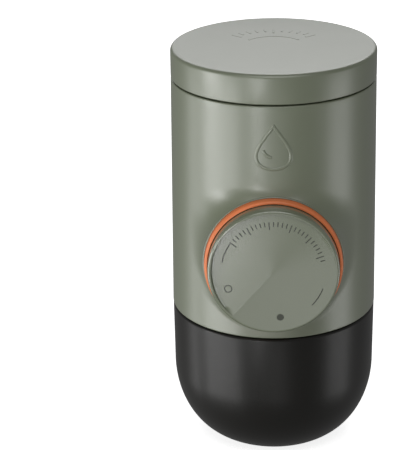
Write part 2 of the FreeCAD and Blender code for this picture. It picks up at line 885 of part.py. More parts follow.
def outlet_head():
    outline = [
        (outlet_bore, outlet_high),
        (outlet_radius, outlet_high),
        (outlet_radius, pocket_low + outlet_wall),
        (pocket_radius, funnel_low + outlet_wall),
        (spout_radius + funnel_wall, funnel_low - funnel_wall),
        (spout_radius, funnel_low - funnel_wall),
        (spout_radius, spout_low),
        (spout_bore, spout_low),
        (spout_bore, funnel_low),
        (pocket_radius, pocket_low),
        (pocket_radius, outlet_step),
        (outlet_bore, outlet_step),
    ]
    grip = disc(grip_radius, outlet_step, outlet_high, outlet_radius + grip_radius - grip_depth)
    return turned(outline).cut(turned_copies(grip, grip_count))


def main():
    os.makedirs("parts", exist_ok=True)
    makers = [
        drinking_cup,
        body_shell,
        accent_ring,
        pump_barrel,
        pump_cylinder,
        rod_bush,
        cylinder_screws,
        cylinder_gasket,
        cylinder_head,
        head_screws,
        inlet_valve,
        outlet_valve,
        suction_tube,
        delivery_tube,
        water_tank,
        inlet_filter,
        brew_head,
        brew_screws,
        cup_seal,
        shower_screen,
        shower_screw,
        brew_gasket,
        return_spring,
        lid,
        lid_plug,
        lid_gasket,
        vent_valve,
        knob,
        retainer_washer,
        retainer_screw,
        guide_sleeve,
        plunger_rod,
        piston_head,
        piston_seal,
        piston_screw,
        outlet_head,
        filter_basket,
    ]
    for maker in makers:
        shape = maker()
        shape.exportStep(f"parts/{maker.__name__}.step")
        box = shape.BoundBox
        print(f"{maker.__name__}: {len(shape.Solids)} solids, valid {shape.isValid()}")
        print(f"    y {box.YMin:.2f} to {box.YMax:.2f}, z {box.ZMin:.2f} to {box.ZMax:.2f}")


main()
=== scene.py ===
import json
import logging
from dataclasses import dataclass
from enum import Enum
from math import cos, pi, radians, sin, sqrt, tan
from typing import Any, Sequence

import bmesh
import bpy
from mathutils import Matrix, Vector


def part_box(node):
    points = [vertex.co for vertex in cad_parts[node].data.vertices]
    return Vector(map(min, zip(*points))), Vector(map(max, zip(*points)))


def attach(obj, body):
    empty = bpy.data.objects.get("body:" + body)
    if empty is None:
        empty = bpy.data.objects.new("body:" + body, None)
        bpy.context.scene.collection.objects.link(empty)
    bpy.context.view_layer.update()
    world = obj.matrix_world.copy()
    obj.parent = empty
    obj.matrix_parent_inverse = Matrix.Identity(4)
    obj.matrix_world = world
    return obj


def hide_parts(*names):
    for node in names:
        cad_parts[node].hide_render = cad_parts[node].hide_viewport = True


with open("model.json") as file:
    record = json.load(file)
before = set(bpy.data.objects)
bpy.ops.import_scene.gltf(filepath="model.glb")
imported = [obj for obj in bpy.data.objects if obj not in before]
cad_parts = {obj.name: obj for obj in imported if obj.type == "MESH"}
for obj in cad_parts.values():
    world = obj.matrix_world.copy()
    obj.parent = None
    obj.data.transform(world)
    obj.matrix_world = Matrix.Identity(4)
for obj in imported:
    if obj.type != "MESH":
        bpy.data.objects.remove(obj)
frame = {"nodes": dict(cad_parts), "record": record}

logger = logging.getLogger("espresso_maker")

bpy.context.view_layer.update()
MM = 0.001
FULL_TURN = 2 * pi
ROUND_STEPS = 6
WELD = 0.002 * MM
SHARP_TURN = radians(34)
KNOB_SHARP_TURN = radians(28)
MARK_SHARP_TURN = radians(50)
FINE_SEGMENTS = 192

Point = tuple[float, float]
Colour = tuple[float, float, float]
Build, Mesh = bmesh.types.BMesh, bpy.types.Mesh
Material, Tree = bpy.types.Material, bpy.types.NodeTree


# ---------------- sizes taken from the frame


def low_corner(node: str) -> Vector:
    """Lowest corner of a construction node, in metres."""
    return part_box(node)[0]


def high_corner(node: str) -> Vector:
    """Highest corner of a construction node, in metres."""
    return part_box(node)[1]


def on_front(height: float) -> Matrix:
    """Place of a drawing that faces the front at a height."""
    return Matrix.Translation((0, 0, height)) @ Matrix.Rotation(pi / 2, 4, "X")


PUMP_HEIGHT = (low_corner("knob").z + high_corner("knob").z) / 2
PUMP_PLACE = on_front(PUMP_HEIGHT)


# ---------------- meshes


def rounded(corners: Sequence[tuple[float, float, float]], closed: bool = False) -> list[Point]:
    """Outline with a round of its own at each corner.

    Args:
        corners: radius, height and corner round of each corner, in metres.
        closed: True if the outline returns to its first corner.

    Returns:
        The outline's points, with each round as a short arc.
    """
    points: list[Point] = []
    for index, (radius, height, bend) in enumerate(corners):
        here = Vector((radius, height))
        if bend == 0 or (not closed and index in (0, len(corners) - 1)):
            points.append((here.x, here.y))
            continue
        before = (Vector(corners[index - 1][:2]) - here).normalized()
        after = (Vector(corners[(index + 1) % len(corners)][:2]) - here).normalized()
        half = before.angle(after) / 2
        centre = here + (before + after).normalized() * bend / sin(half)
        start = here + before * bend / tan(half) - centre
        sweep = start.angle_signed(here + after * bend / tan(half) - centre)
        for step in range(ROUND_STEPS + 1):
            turned = start.copy()
            turned.rotate(Matrix.Rotation(-sweep * step / ROUND_STEPS, 2))
            points.append(((centre + turned).x, (centre + turned).y))
    return points


def quarter_ellipse(centre: Point, reach: float, drop: float, steps: int) -> list[Point]:
    """Points of a quarter ellipse from straight below its centre out to its side.

    Args:
        centre: the ellipse's centre as radius and height.
        reach: half axis outwards.
        drop: half axis downwards.
        steps: number of spans.

    Returns:
        The points, lowest first.
    """
    turns = [pi / 2 * step / steps for step in range(steps + 1)]
    return [(centre[0] + reach * sin(t), centre[1] - drop * cos(t)) for t in turns]


def add_strips(build: Build, rows: Sequence[Any], ring: bool = True, closed: bool = False) -> None:
    """Faces between neighbouring rows of vertices, where a row may be a single pole.

    Args:
        build: the mesh under construction.
        rows: the rows, in order.
        ring: True if each row closes on itself.
        closed: True if the last row joins the first.
    """
    for one, two in zip(rows, rows[1:] + rows[:1] if closed else rows[1:]):
        count = max(len(one), len(two))
        for step in range(count if ring else count - 1):
            after = (step + 1) % count
            near = (one[step % len(one)], one[after % len(one)])
            far = (two[after % len(two)], two[step % len(two)])
            face = list(dict.fromkeys(near + far))
            if len(face) > 2:
                build.faces.new(face)


def even_turns(count: int) -> list[float]:
    """Evenly spaced turns round the upright axis, from the front."""
    return [FULL_TURN * step / count for step in range(count)]


def add_turned(
    build: Build,
    outline: Sequence[Point],
    turns: list[float],
    ring: bool = True,
    closed: bool = False,
) -> None:
    """Adds an outline turned about the upright axis.

    Args:
        build: the mesh under construction.
        outline: radius and height of each point.
        turns: turn of each column, from the front.
        ring: True if each row closes on itself.
        closed: True if the outline does.
    """
    rows = []
    for radius, height in outline:
        around = turns if radius else [0.0]
        places = [(radius * sin(turn), -radius * cos(turn), height) for turn in around]
        rows.append([build.verts.new(place) for place in places])
    add_strips(build, rows, ring, closed)


def shade(mesh: Mesh, sharp: float = SHARP_TURN) -> Mesh:
    """Shades a mesh smooth between the edges that turn by more than an angle."""
    mesh.shade_smooth()
    mesh.set_sharp_from_angle(angle=sharp)
    return mesh


def finished_mesh(build: Build, name: str, sharp: float = SHARP_TURN) -> Mesh:
    """Welds a mesh, points its faces outwards and shades it.

    Args:
        build: the mesh under construction, which is used up.
        name: name of the mesh.
        sharp: edges that turn by more than this stay sharp.

    Returns:
        The mesh.
    """
    bmesh.ops.remove_doubles(build, verts=build.verts, dist=WELD)
    bmesh.ops.recalc_face_normals(build, faces=build.faces)
    mesh = bpy.data.meshes.new(name)
    build.to_mesh(mesh)
    build.free()
    return shade(mesh, sharp)


def turned_mesh(
    name: str, outline: Sequence[Point], closed: bool = False, segments: int = FINE_SEGMENTS
) -> Mesh:
    """A closed mesh turned about the upright axis.

    Args:
        name: name of the mesh.
        outline: radius and height of each point.
        closed: True for a ring, False for an outline that starts and ends on the axis.
        segments: number of faces round the axis.

    Returns:
        The mesh.
    """
    build = bmesh.new()
    add_turned(build, outline, even_turns(segments), closed=closed)
    return finished_mesh(build, name)


def placed(name: str, data: Any) -> bpy.types.Object:
    """A new object in the scene, at the origin."""
    thing = bpy.data.objects.new(name, data)
    bpy.context.scene.collection.objects.link(thing)
    return thing


def add_piece(mesh: Mesh, body: str, finish: Material, node: str = "") -> None:
    """Links a finished mesh into the scene on its body.

    Args:
        mesh: the mesh, with its place in its points.
        body: the moving body that it rides on.
        finish: its material.
        node: the construction node that it replaces, if any.
    """
    piece = placed(mesh.name, mesh)
    mesh.materials.clear()
    mesh.materials.append(finish)
    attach(piece, body)
    if node:
        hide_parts(node)
    logger.info("%s: %d faces on %s", piece.name, len(mesh.polygons), body)


# ---------------- node trees


class Term:
    """A value inside a node tree, which plain arithmetic works on."""

    def __init__(self, sheet: "Sheet", socket: bpy.types.NodeSocket) -> None:
        """Keeps the tree and the socket that holds the value."""
        self.sheet = sheet
        self.socket = socket

    def __add__(self, other: Any) -> "Term":
        """This value plus another."""
        return self.sheet.calc("ADD", self, other)

    def __sub__(self, other: Any) -> "Term":
        """This value less another."""
        return self.sheet.calc("SUBTRACT", self, other)

    def __rsub__(self, other: Any) -> "Term":
        """Another value less this one."""
        return self.sheet.calc("SUBTRACT", other, self)

    def __mul__(self, other: Any) -> "Term":
        """This value times another."""
        return self.sheet.calc("MULTIPLY", self, other)

    def __truediv__(self, other: Any) -> "Term":
        """This value divided by another."""
        return self.sheet.calc("DIVIDE", self, other)

    def __rtruediv__(self, other: Any) -> "Term":
        """Another value divided by this one."""
        return self.sheet.calc("DIVIDE", other, self)

    def within(self, low: Any, high: Any) -> "Term":
        """This value, held between two limits."""
        return self.sheet.calc("MAXIMUM", self.sheet.calc("MINIMUM", self, high), low)


class Sheet:
    """A node tree under construction."""

    def __init__(self, tree: Tree) -> None:
        """Keeps the tree that nodes are added to."""
        self.tree = tree

    def named_socket(self, title: str, way: str, kind: str) -> Any:
        """Adds an input or an output to the tree."""
        return self.tree.interface.new_socket(title, in_out=way, socket_type=kind)

    def feed(self, socket: bpy.types.NodeSocket, value: Any) -> None:
        """Links a socket to a term, or sets its value."""
        if isinstance(value, Term):
            self.tree.links.new(value.socket, socket)
        else:
            socket.default_value = value

    def terms(self, kind: str, *values: Any, **named: Any) -> list[Term]:
        """Adds a node.

        Args:
            kind: the node's type.
            values: number or term for each of its first inputs, in order.
            named: inputs by their names, which start with a capital, and the node's settings.

        Returns:
            A term for each of its outputs.
        """
        node = self.tree.nodes.new(kind)
        inputs = dict(enumerate(values))
        for key, value in named.items():
            if key[0].isupper():
                inputs[key.replace("_", " ")] = value
            else:
                setattr(node, key, value)
        for key, value in inputs.items():
            self.feed(node.inputs[key], value)
        return [Term(self, socket) for socket in node.outputs]

    def term(self, kind: str, *values: Any, **named: Any) -> Term:
        """Adds a node and gives its first output."""
        return self.terms(kind, *values, **named)[0]

    def calc(self, operation: str, *values: Any) -> Term:
        """Adds a math node on numbers or terms, in order."""
        return self.term("ShaderNodeMath", *values, operation=operation)

    def vector(self, x: Any = 0.0, y: Any = 0.0, z: Any = 0.0) -> Term:
        """A point or a way from its three parts."""
        return self.term("ShaderNodeCombineXYZ", x, y, z)

    def parts(self, vector: Term) -> list[Term]:
        """The three parts of a point or a way."""
        return self.terms("ShaderNodeSeparateXYZ", vector)


def bare_sheet(holder: Any) -> Sheet:
    """The emptied node tree of a material or a world."""
    holder.use_nodes = True
    holder.node_tree.nodes.clear()
    return Sheet(holder.node_tree)


class ShapeSheet(Sheet):
    """A Geometry Nodes tree under construction, with named sizes as inputs."""

    KINDS = {int: "NodeSocketInt", float: "NodeSocketFloat"}

    def __init__(self, name: str, finish: Material, sizes: dict[str, Any]) -> None:
        """Starts a tree with geometry in and out.

        Args:
            name: the tree's name.
            finish: the material that it sets.
            sizes: each named input with its value.
        """
        super().__init__(bpy.data.node_groups.new(name, "GeometryNodeTree"))
        self.sizes = {**sizes, "Finish": finish}
        for way in ("INPUT", "OUTPUT"):
            self.named_socket("Geometry", way, "NodeSocketGeometry")
        for title, value in self.sizes.items():
            self.named_socket(title, "INPUT", self.KINDS.get(type(value), "NodeSocketMaterial"))
        self.ground, *self.given = self.terms("NodeGroupInput")[:-1]

    def geo(self, kind: str, *values: Any, **named: Any) -> Term:
        """Adds a geometry node, by the last part of its type."""
        return self.term("GeometryNode" + kind, *values, **named)

    def __getitem__(self, title: str) -> Term:
        """The value of a named input."""
        return self.given[list(self.sizes).index(title)]

    def finish(self, geometry: Term) -> None:
        """Ends the tree in Realize Instances and Set Material."""
        real = self.geo("RealizeInstances", geometry)
        dressed = self.geo("SetMaterial", real, Material=self["Finish"])
        self.terms("NodeGroupOutput", dressed)

    def grow(self, base: Mesh) -> Mesh:
        """Runs the tree on a mesh.

        Args:
            base: the mesh that the tree starts from, which is used up.

        Returns:
            The plain result as a new mesh, under the base's name.
        """
        name = base.name
        carrier = placed(name, base)
        modifier = carrier.modifiers.new(self.tree.name, "NODES")
        modifier.node_group = self.tree
        for item in self.tree.interface.items_tree:
            if item.name in self.sizes:
                modifier[item.identifier] = self.sizes[item.name]
        depsgraph = bpy.context.evaluated_depsgraph_get()
        mesh = bpy.data.meshes.new_from_object(carrier.evaluated_get(depsgraph))
        bpy.data.objects.remove(carrier)
        bpy.data.meshes.remove(base)
        mesh.name = name
        return mesh


def turned_copies(base: Mesh, finish: Material, count: int, first: float) -> Mesh:
    """Evenly spaced copies of a piece round the upright axis.

    Args:
        base: the piece's mesh, which is used up.
        finish: its material.
        count: number of copies.
        first: turn of the first one.

    Returns:
        All copies as one mesh.
    """
    sheet = ShapeSheet("Turned Copies", finish, {"Count": count, "First Turn": first})
    turn = sheet.geo("InputIndex") / sheet["Count"] * FULL_TURN + sheet["First Turn"]
    points = sheet.geo("MeshLine", Count=sheet["Count"], Offset=(0, 0, 0))
    ways = sheet.vector(z=turn)
    sheet.finish(sheet.geo("InstanceOnPoints", points, Instance=sheet.ground, Rotation=ways))
    return shade(sheet.grow(base))


class MarkSheet(ShapeSheet):
    """A tree that draws marks in a flat plane and lays them on the geometry that it is given.

    Its sizes hold the Width and the Height of its strokes.
    """

    HIT_POSITION = 1
    RAY_START = 1.0
    BAR_SIDES = 10
    ARC_STEPS = 32
    RING_STEPS = 40
    DROP_STEPS = 120
    MAJOR_EVERY = 5.0
    MINOR_SHARE = 0.4
    SWELL = 1.5
    DROP_SHARE = 0.72

    def __init__(self, name: str, finish: Material, sizes: dict[str, Any]) -> None:
        """Starts a tree without marks, as ShapeSheet does."""
        super().__init__(name, finish, sizes)
        self.marks: list[Term] = []

    def bar(self, curve: Term, capped: bool = True) -> Term:
        """A round bar of the tree's width along a curve."""
        section = self.geo("CurvePrimitiveCircle", self.BAR_SIDES, Radius=self["Width"] * 0.5)
        return self.geo("CurveToMesh", curve, section, Fill_Caps=capped)

    def around(self, radius: Term, turn: Term) -> tuple[Term, Term]:
        """Point on a circle, at a turn clockwise from the top."""
        return radius * self.calc("SINE", turn), radius * self.calc("COSINE", turn)

    def add_at(self, geometry: Term, place: Sequence[Term]) -> None:
        """Adds a mark, moved within the plane."""
        self.marks.append(self.geo("Transform", geometry, Translation=self.vector(*place)))

    def arc(self, stroke: str, middle: str) -> None:
        """Adds a bent stroke round the centre.

        Args:
            stroke: first word of the sizes for its radius and sweep.
            middle: name of the size for its middle's turn, clockwise from the top.
        """
        radius, sweep = self[stroke + " Radius"], self[stroke + " Sweep"]
        start = pi / 2 - self[middle] - sweep * 0.5
        ends = {"Start_Angle": start, "Sweep_Angle": sweep}
        arc = self.geo("CurveArc", self.ARC_STEPS, Radius=radius, mode="RADIUS", **ends)
        self.marks.append(self.bar(arc))

    def scale(self) -> None:
        """Adds a scale of strokes that point to the centre, with every fifth one longer."""
        index = self.geo("InputIndex")
        turn = index * self["Scale Step"] + self["Scale Start"]
        minor = self.calc("MODULO", index, self.MAJOR_EVERY).within(0.0, 1.0)
        reach = self["Scale Length"] * (minor * -self.MINOR_SHARE + 1.0)
        place = self.vector(*self.around(reach * -0.5 + self["Scale Radius"], turn))
        line = self.geo("MeshLine", Count=self["Scale Count"], Offset=(0, 0, 0))
        points = self.geo("SetPosition", line, Position=place)
        stroke = self.bar(self.geo("CurvePrimitiveLine", (0, -0.5, 0), (0, 0.5, 0)))
        turned = {"Rotation": self.vector(z=turn * -1.0), "Scale": self.vector(1.0, reach, 1.0)}
        self.marks.append(self.geo("InstanceOnPoints", points, Instance=stroke, **turned))

    def ring(self, place: Sequence[Term]) -> None:
        """Adds a small open ring."""
        curve = self.geo("CurvePrimitiveCircle", self.RING_STEPS, Radius=self["Symbol Radius"])
        self.add_at(self.bar(curve, capped=False), place)

    def dot(self, place: Sequence[Term]) -> None:
        """Adds a small filled dot."""
        sizes = {"Radius": self["Symbol Radius"], "Depth": self["Width"]}
        self.add_at(self.geo("MeshCylinder", self.ARC_STEPS, **sizes), place)

    def drop(self) -> None:
        """Adds the outline of a water drop, with its tip up."""
        curve = self.geo("CurvePrimitiveCircle", self.DROP_STEPS)
        turn = self.geo("SplineParameter") * FULL_TURN
        swell = self.calc("POWER", self.calc("SINE", turn * 0.5), self.SWELL)
        across = self["Drop Width"] * self.DROP_SHARE * (self.calc("SINE", turn) * swell)
        up = self["Drop Height"] * 0.5 * self.calc("COSINE", turn)
        outline = self.geo("SetPosition", curve, Position=self.vector(across, up))
        self.marks.append(self.bar(outline, capped=False))

    def lay(self, name: str, ground: Mesh, place: Matrix) -> Mesh:
        """Lays all the marks on a piece, half sunk in its surface.

        Args:
            name: name of the marks' mesh.
            ground: mesh of the piece that carries them.
            place: where the marks' plane lies, with its +Z out of the piece.

        Returns:
            The marks as a mesh in the piece's own place.
        """
        joined = self.tree.nodes.new("GeometryNodeJoinGeometry")
        for mark in self.marks:
            self.feed(joined.inputs[0], mark)
        real = self.geo("RealizeInstances", Term(self, joined.outputs[0]))
        x, y, z = self.parts(self.geo("InputPosition"))
        ray = {
            "Source_Position": self.vector(x, y, self.RAY_START),
            "Ray_Direction": (0, 0, -1), "Ray_Length": 2 * self.RAY_START,
        }
        hit = self.terms("GeometryNodeRaycast", self.ground, **ray)[self.HIT_POSITION]
        flatness = self["Height"] * 2.0 / self["Width"]
        spot = self.vector(x, y, z * flatness + self.parts(hit)[2])
        self.finish(self.geo("SetPosition", real, Position=spot))
        base = ground.copy()
        base.name = name
        base.transform(place.inverted())
        mesh = self.grow(base)
        mesh.transform(place)
        return shade(mesh, MARK_SHARP_TURN)


# ---------------- finishes

WHITE = (1, 1, 1, 1)
NOISE_MIDDLE = 0.5
SMEAR_FINENESS = 2.7
LINE_STRETCH = 0.01
LINE_GLOSS = 0.2


def paint(red: int, green: int, blue: int) -> Colour:
    """A screen colour, from 0 to 255, as the linear colour that shaders use."""

    def linear(level: int) -> float:
        """One channel of the linear colour."""
        share = level / 255
        return share / 12.92 if share <= 0.04045 else ((share + 0.055) / 1.055) ** 2.4

    return linear(red), linear(green), linear(blue)


class ShaderGroup(Sheet):
    """A shader node group under construction, which works on Object coordinates."""

    OBJECT_PLACE = 3

    def __init__(self, name: str, inputs: dict[str, float]) -> None:
        """Starts a group.

        Args:
            name: the group's name.
            inputs: each number that it takes, with its usual value.
        """
        super().__init__(bpy.data.node_groups.new(name, "ShaderNodeTree"))
        for title, usual in inputs.items():
            self.named_socket(title, "INPUT", "NodeSocketFloat").default_value = usual
        self.given = self.terms("NodeGroupInput")[:-1]
        self.place = self.terms("ShaderNodeTexCoord")[self.OBJECT_PLACE]

    def noise(self, scale: Term, detail: float, vector: Term | None = None) -> Term:
        """Soft noise between 0 and 1 over the surface."""
        place = vector or self.place
        return self.term("ShaderNodeTexNoise", place, Scale=scale, Detail=detail)

    def closed(self, **outputs: Term) -> Tree:
        """Ends the group in its named outputs."""
        for title in outputs:
            self.named_socket(title, "OUTPUT", "NodeSocketFloat")
        self.terms("NodeGroupOutput", **outputs)
        return self.tree


def moulded_grain() -> Tree:
    """Fine spark-eroded grain of a moulded surface, with the soft dimples between its points."""
    group = ShaderGroup("Moulded Grain", {"Size": 0.3 * MM})
    scale = 1.0 / group.given[0]
    fine = group.noise(scale, 3.0)
    cells = group.term("ShaderNodeTexVoronoi", group.place, Scale=scale)
    return group.closed(Height=cells * 0.5 + fine, Speckle=fine)


def tone_drift() -> Tree:
    """Slow change of tone and gloss over a large surface."""
    group = ShaderGroup("Tone Drift", {"Size": 30 * MM, "Amount": 0.04})
    size, amount = group.given
    scale = 1.0 / size
    slow = group.noise(scale, 3.0) - NOISE_MIDDLE
    smear = group.noise(scale * SMEAR_FINENESS, 4.0) - NOISE_MIDDLE
    return group.closed(Tone=slow * amount + 1.0, Gloss=smear * amount)


def tool_marks() -> Tree:
    """Fine lines that a tool leaves round the upright axis or along it."""
    group = ShaderGroup("Tool Marks", {"Spacing": 0.2 * MM, "Stretch": 0.04})
    spacing, stretch = group.given
    x, y, z = group.parts(group.place)
    turn = group.calc("ARCTAN2", y, x) * stretch
    line = group.vector(group.calc("SQRT", x * x + y * y), turn * LINE_STRETCH, z)
    lines = group.noise(1.0 / spacing, 2.0, line)
    return group.closed(Height=lines, Gloss=(lines - NOISE_MIDDLE) * LINE_GLOSS)


class Surface(Enum):
    """How a finish is made."""

    MOULDED = "moulded"
    METAL = "metal"


@dataclass(frozen=True)
class Finish:
    """One finish of the espresso maker."""

    name: str
    colour: Colour
    roughness: float
    surface: Surface = Surface.MOULDED
    grain: float = 0.3 * MM
    depth: float = 0.01 * MM
    drift: float = 0.05
    gloss: float = 0.5
    coat: float = 0.0
    coat_roughness: float = 0.3
    least_roughness: float = 0.05

    def material(self, groups: dict[str, Tree]) -> Material:
        """Builds the finish as a material.

        Args:
            groups: the shared shader groups.

        Returns:
            The material.
        """
        material = bpy.data.materials.new(self.name)
        sheet = bare_sheet(material)
        metal = self.surface is Surface.METAL
        drift, relief = groups["drift"], groups["marks" if metal else "grain"]
        tone, sheen = sheet.terms("ShaderNodeGroup", Amount=self.drift, node_tree=drift)
        height, change = sheet.terms("ShaderNodeGroup", self.grain, node_tree=relief)
        rough = sheen + self.roughness
        if metal:
            rough = rough + change
        else:
            tone = change * self.drift + tone
        vector = "ShaderNodeVectorMath"
        shader = sheet.term(
            "ShaderNodeBsdfPrincipled",
            Base_Color=sheet.term(vector, self.colour, Scale=tone, operation="SCALE"),
            Roughness=rough.within(self.least_roughness, 1.0),
            Metallic=1.0 if metal else 0.0,
            Normal=sheet.term("ShaderNodeBump", Height=height, Distance=self.depth),
            Specular_IOR_Level=self.gloss,
            Coat_Weight=self.coat,
            Coat_Roughness=self.coat_roughness,
        )
        sheet.terms("ShaderNodeOutputMaterial", shader)
        return material


class Palette:
    """Every finish, ready for use."""

    def __init__(self) -> None:
        """Builds all the materials."""
        groups = {"grain": moulded_grain(), "drift": tone_drift(), "marks": tool_marks()}
        olive = paint(110, 117, 96)
        finishes = {
            "casing": Finish(
                "satin_olive_grey", olive, 0.4,
                grain=0.22 * MM, depth=0.004 * MM, gloss=1.0, coat=0.8, coat_roughness=0.34,
            ),
            "knob": Finish(
                "fine_olive_grey", olive, 0.26,
                grain=0.22 * MM, depth=0.002 * MM, gloss=1.0, coat=1.0, coat_roughness=0.18,
            ),
            "cup": Finish(
                "matte_charcoal", paint(19, 18, 15), 0.35,
                grain=0.25 * MM, depth=0.005 * MM, gloss=0.4,
            ),
            "orange": Finish("orange_trim", paint(230, 128, 76), 0.4),
            "black": Finish("black_inner_plastic", paint(28, 28, 27), 0.45),
            "bearing": Finish("pale_bearing_plastic", paint(196, 192, 180), 0.4),
            "tank": Finish("smoky_tank_plastic", paint(62, 62, 58), 0.3),
            "steel": Finish(
                "brushed_steel", paint(196, 195, 190), 0.3, Surface.METAL,
                grain=0.15 * MM, depth=0.004 * MM,
            ),
            "rubber": Finish("silicone_rubber", paint(46, 46, 45), 0.62, gloss=0.3),
            "clear_rubber": Finish("pale_silicone", paint(190, 188, 182), 0.5, gloss=0.3),
            "ink": Finish("dark_inlay", paint(70, 73, 64), 0.55, grain=0.15 * MM),
        }
        self.named = {key: finish.material(groups) for key, finish in finishes.items()}

    def __getitem__(self, key: str) -> Material:
        """The material of a finish."""
        return self.named[key]


# ---------------- casing


@dataclass
class Casing:
    """The body's shell: a tall cylinder with a raised boss round the pump's knob."""

    palette: Palette
    wall: float = 2.2 * MM
    draft: float = radians(0.5)
    edge: float = 0.4 * MM
    rim_round: float = 0.3996 * MM
    lip_round: float = 0.38 * MM
    fillet: float = 9.0 * MM
    side_fillet: float = 4.2 * MM
    fillet_turn: float = 0.8
    lip: float = 0.5 * MM
    lip_drop: float = 0.48 * MM
    seat_gap: float = 0.1 * MM
    seat_depth: float = 1.6 * MM
    window: float = radians(78)
    columns: int = 84
    rows: int = 60
    steps: int = 32
    gather: float = 1.7
    relief_height: float = 115.8 * MM
    ledge_width: float = 2.0 * MM
    ledge_height: float = 1.2 * MM
    ledge_segments: int = 160
    post_height: float = 8.0 * MM
    post_wall: float = 1.6 * MM
    post_segments: int = 32
    rib_width: float = 2.4 * MM
    rib_root: float = 0.9
    screw_radius: float = 1.25 * MM
    screw_head: float = 2.2 * MM
    screws: int = 4

    def __post_init__(self) -> None:
        """Takes the casing's place from the frame, and the turns of its columns from its window."""
        self.low, self.high = low_corner("body_shell").z, high_corner("body_shell").z
        self.front = -low_corner("body_shell").y
        self.top_radius = high_corner("lid").x
        self.seat_radius = high_corner("accent_ring").x + self.seat_gap
        self.lip_radius = self.seat_radius - self.seat_gap + self.lip
        self.bore_radius = high_corner("pump_barrel").x + self.seat_gap
        count, rest = self.columns, FULL_TURN - 2 * self.window
        self.front_turns = [self.window * (2 * step / count - 1) for step in range(count)]
        self.back_turns = [self.window + rest * step / count for step in range(count + 1)]

    def radius_at(self, height: float, inset: float = 0.0) -> float:
        """Radius of the skin at a height, less an inset."""
        return self.top_radius + (self.high - height) * tan(self.draft) - inset

    def skin(self, build: Build, low: float, high: float, hole: float, inset: float) -> list[Any]:
        """One skin: rays that run from a round hole out to the window, and a grid behind it.

        Args:
            build: the mesh under construction.
            low: height of the skin's lower edge.
            high: height of its upper edge.
            hole: radius of the hole.
            inset: how far the skin lies inside the outer one.

        Returns:
            The ring of vertices round the hole.
        """
        flag = build.verts.layers.float["front_skin"]
        heights = [low + (high - low) * step / self.rows for step in range(self.rows + 1)]
        window = [(turn, low) for turn in self.front_turns]
        window += [(self.window, height) for height in heights[:-1]]
        window += [(-turn, high) for turn in self.front_turns]
        window += [(-self.window, height) for height in heights[:0:-1]]
        rows = []
        for step in range(self.steps + 1):
            share = (step / self.steps) ** self.gather
            row = []
            for turn, edge_height in window:
                across = self.radius_at(edge_height, inset) * sin(turn)
                edge = Vector((across, edge_height - PUMP_HEIGHT))
                place = edge.normalized() * (hole + (edge.length - hole) * share)
                height = PUMP_HEIGHT + place.y
                depth = sqrt(max(self.radius_at(height, inset) ** 2 - place.x**2, 0.0))
                vertex = build.verts.new((place.x, -depth, height))
                vertex[flag] = 0.0 if inset else 1.0
                row.append(vertex)
            rows.append(row)
        add_strips(build, rows)
        outline = [(self.radius_at(height, inset), height) for height in heights]
        add_turned(build, outline, self.back_turns, ring=False)
        return rows[0]

    def mouth(self, build: Build, outer: list[Any], inner: list[Any]) -> None:
        """Lip, ring seat and bore, from the outer skin's hole to the inner one's.

        Args:
            build: the mesh under construction.
            outer: ring of vertices round the outer skin's hole.
            inner: ring of vertices round the inner skin's hole.
        """
        seat = self.front - self.seat_depth
        corners = [
            (self.lip_radius, self.front - 2 * self.edge, 0.0),
            (self.lip_radius, self.front, self.lip_round),
            (self.seat_radius, self.front, 0.0),
            (self.seat_radius, seat, 0.0),
            (self.bore_radius, seat, 0.0),
        ]
        rows = [outer]
        for radius, station in rounded(corners)[1:]:
            row = []
            for vertex in outer:
                flat = Vector((vertex.co.x, vertex.co.z - PUMP_HEIGHT)).normalized() * radius
                row.append(build.verts.new((flat.x, -station, PUMP_HEIGHT + flat.y)))
            rows.append(row)
        add_strips(build, rows + [inner])

    def plain_mesh(self) -> Mesh:
        """The shell before its boss flares into it."""
        build = bmesh.new()
        build.verts.layers.float.new("front_skin")
        low, high = self.low + self.edge, self.high - self.edge
        outer = self.skin(build, low, high, self.lip_radius, 0.0)
        inner = self.skin(build, self.low, self.high, self.bore_radius, self.wall)
        for edge_height, height in ((low, self.low), (high, self.high)):
            corners = [
                (self.radius_at(edge_height), edge_height, 0.0),
                (self.radius_at(edge_height), height, self.rim_round),
                (self.radius_at(height, self.wall), height, 0.0),
            ]
            add_turned(build, rounded(corners), self.front_turns + self.back_turns[:-1])
        self.mouth(build, outer, inner)
        return finished_mesh(build, "body_casing")

    def flared(self, mesh: Mesh) -> Mesh:
        """Raises the skin in a round fillet towards the boss's lip, by Geometry Nodes."""
        sizes = {
            "Lip Radius": self.lip_radius,
            "Lip Front": self.front - self.lip_drop,
            "Top Fillet": self.fillet,
            "Side Fillet": self.side_fillet,
            "Pump Height": PUMP_HEIGHT,
            "Top Radius": self.top_radius,
            "Slope": tan(self.draft),
            "Top Height": self.high,
        }
        sheet = ShapeSheet("Boss Flare", self.palette["casing"], sizes)
        lip, front, above, beside, pump, top, slope, high, _ = sheet.given
        x, y, z = sheet.parts(sheet.geo("InputPosition"))
        up = z - pump
        reach = sheet.calc("SQRT", x * x + up * up)
        ends = {"From_Max": self.fillet_turn, "To_Min": beside, "To_Max": above}
        kind = {"interpolation_type": "SMOOTHSTEP"}
        fillet = sheet.term("ShaderNodeMapRange", up / reach, **ends, **kind)
        share = lip / reach
        lip_across = x * share
        radius = (high - (up * share + pump)) * slope + top
        body = sheet.calc("SQRT", radius * radius - lip_across * lip_across)
        run = fillet - (front - body).within(0.0, fillet)
        square = fillet * fillet
        width = sheet.calc("SQRT", square - run * run)
        left = (width - (reach - lip)).within(0.0, fillet)
        lift = fillet - sheet.calc("SQRT", square - left * left)
        skin = sheet.geo("InputNamedAttribute", "front_skin", data_type="FLOAT")
        raised = sheet.vector(y=lift * skin * -1.0)
        sheet.finish(sheet.geo("SetPosition", sheet.ground, Offset=raised))
        return shade(sheet.grow(mesh))

